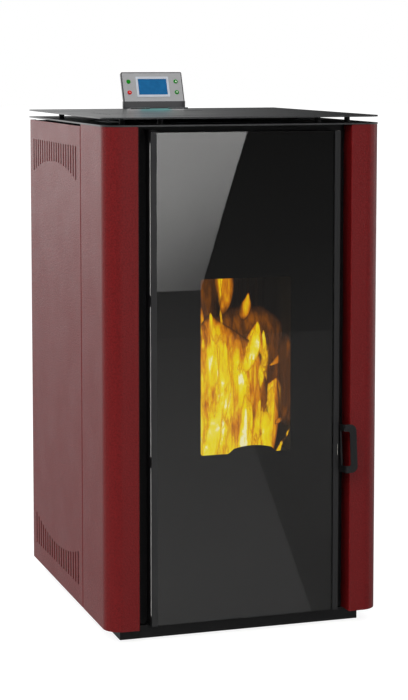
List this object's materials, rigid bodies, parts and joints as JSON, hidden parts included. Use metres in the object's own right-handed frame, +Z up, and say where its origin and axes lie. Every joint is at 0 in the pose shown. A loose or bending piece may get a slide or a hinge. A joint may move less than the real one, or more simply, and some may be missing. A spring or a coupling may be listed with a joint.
{
  "type": "pellet stove",
  "caption": "Upright pellet stove with a full-height dark glass door, folded handle, slotted side panels, raised top plate with hopper lid and a tilted display.",
  "frame": {"origin": "floor, under the centre of the overall box from the handle to the end of the flue spigot", "axes": "+X to the right seen from the front, +Y to the back, +Z up; the door faces -Y"},
  "size_m": [0.582, 0.7288, 1.1302],
  "materials": {
    "burgundy_coat": "fine-texture powder coat",
    "black_coat": "satin powder coat",
    "top_plate_coat": "satin powder coat",
    "channel_coat": "satin powder coat",
    "ceramic_glass": "polished",
    "black_enamel": "fired enamel",
    "glass_fibre_tape": "woven",
    "glass_fibre_rope": "braided",
    "heat_resistant_coat": "matt",
    "cast_iron": "as cast",
    "vermiculite": "pressed board",
    "galvanised_steel": "galvanised",
    "bright_steel": "zinc plated",
    "motor_coat": "satin",
    "dark_plastic": "fine texture",
    "grey_face": "satin foil",
    "silver_bezel": "satin",
    "blue_screen": "glossy",
    "green_button": "glossy",
    "red_button": "glossy",
    "circuit_board": "solder mask",
    "black_plastic": "satin"
  },
  "bodies": {
    "stove": {"plinth": "black_coat", "levelling_feet": "black_plastic", "chassis_base": "galvanised_steel", "side_panel_left": "burgundy_coat", "side_panel_right": "burgundy_coat", "corner_column_left": "burgundy_coat", "corner_column_right": "burgundy_coat", "front_frame": "black_coat", "rear_panel": "black_coat", "rear_screws": "bright_steel", "lower_top_plate": "top_plate_coat", "plate_posts": "black_coat", "upper_top_plate": "top_plate_coat", "lid_hinge_pins": "bright_steel", "display_bracket": "black_coat", "display_housing": "dark_plastic", "display_board": "circuit_board", "display_face": "grey_face", "screen_bezel": "silver_bezel", "screen": "blue_screen", "hinge_pins": "bright_steel", "hinge_lugs": "black_coat", "strike": "bright_steel", "firebox": "heat_resistant_coat", "firebox_liner": "cast_iron", "baffle_plate": "vermiculite", "igniter": "bright_steel", "hopper": "galvanised_steel", "feed_chute": "heat_resistant_coat", "auger_tube": "heat_resistant_coat", "gearmotor": "motor_coat", "smoke_duct": "heat_resistant_coat", "smoke_fan_housing": "galvanised_steel", "smoke_fan_motor": "motor_coat", "flue_spigot": "heat_resistant_coat", "air_intake": "galvanised_steel", "room_fan_housing": "galvanised_steel", "control_board": "circuit_board", "power_inlet": "black_plastic", "switch_frame": "black_plastic"},
    "door": {"door_pan": "black_coat", "glass_channel_left": "channel_coat", "glass_channel_right": "channel_coat", "door_glass": "ceramic_glass", "glass_enamel": "black_enamel", "glass_tape": "glass_fibre_tape", "rope_seal": "glass_fibre_rope", "handle_bolt": "bright_steel"},
    "handle": {"handle": "black_coat"},
    "lid": {"hopper_lid": "top_plate_coat"},
    "burn_pot": {"burn_pot": "cast_iron"},
    "ash_drawer": {"ash_drawer": "galvanised_steel"},
    "auger": {"auger_screw": "bright_steel"},
    "smoke_fan": {"smoke_fan_wheel": "bright_steel"},
    "room_fan": {"room_fan_drum": "bright_steel"},
    "button_on": {"button_on": "green_button"},
    "button_off": {"button_off": "red_button"},
    "button_up": {"button_up": "green_button"},
    "button_down": {"button_down": "green_button"},
    "rocker": {"switch_rocker": "red_button"}
  },
  "joints": [
    {"name": "door_hinge", "type": "hinge", "parent": "stove", "child": "door", "pos_m": [-0.1907, -0.31258, 0.036], "axis": [0, 0, -1], "range_deg": [0, 110]},
    {"name": "handle_turn", "type": "hinge", "parent": "door", "child": "handle", "pos_m": [0.2022, -0.30758, 0.37], "axis": [1, 0, 0], "range_deg": [-8, 22]},
    {"name": "lid_hinge", "type": "hinge", "parent": "stove", "child": "lid", "pos_m": [0, 0.27617, 1.048], "axis": [-1, 0, 0], "range_deg": [0, 95]},
    {"name": "burn_pot_lift", "type": "slide", "parent": "stove", "child": "burn_pot", "axis": [0, 0, 1], "range_m": [0, 0.045]},
    {"name": "ash_drawer_slide", "type": "slide", "parent": "stove", "child": "ash_drawer", "axis": [0, -1, 0], "range_m": [0, 0.03]},
    {"name": "auger_spin", "type": "hinge", "parent": "stove", "child": "auger", "pos_m": [0, 0.21542, 0.335], "axis": [0, -0.7071, 0.7071], "continuous": true},
    {"name": "smoke_fan_spin", "type": "hinge", "parent": "stove", "child": "smoke_fan", "pos_m": [0.187, 0.11542, 0.18], "axis": [1, 0, 0], "continuous": true},
    {"name": "room_fan_spin", "type": "hinge", "parent": "stove", "child": "room_fan", "pos_m": [-0.015, -0.17958, 0.112], "axis": [1, 0, 0], "continuous": true},
    {"name": "button_on_press", "type": "slide", "parent": "stove", "child": "button_on", "axis": [0, 0.9272, -0.3746], "range_m": [0, 0.001], "stiffness_N_per_m": 400, "springref_m": -0.0015},
    {"name": "button_off_press", "type": "slide", "parent": "stove", "child": "button_off", "axis": [0, 0.9272, -0.3746], "range_m": [0, 0.001], "stiffness_N_per_m": 400, "springref_m": -0.0015},
    {"name": "button_up_press", "type": "slide", "parent": "stove", "child": "button_up", "axis": [0, 0.9272, -0.3746], "range_m": [0, 0.001], "stiffness_N_per_m": 400, "springref_m": -0.0015},
    {"name": "button_down_press", "type": "slide", "parent": "stove", "child": "button_down", "axis": [0, 0.9272, -0.3746], "range_m": [0, 0.001], "stiffness_N_per_m": 400, "springref_m": -0.0015},
    {"name": "rocker_tip", "type": "hinge", "parent": "stove", "child": "rocker", "pos_m": [-0.16, 0.31192, 0.11], "axis": [-1, 0, 0], "range_deg": [0, 16]}
  ]
}
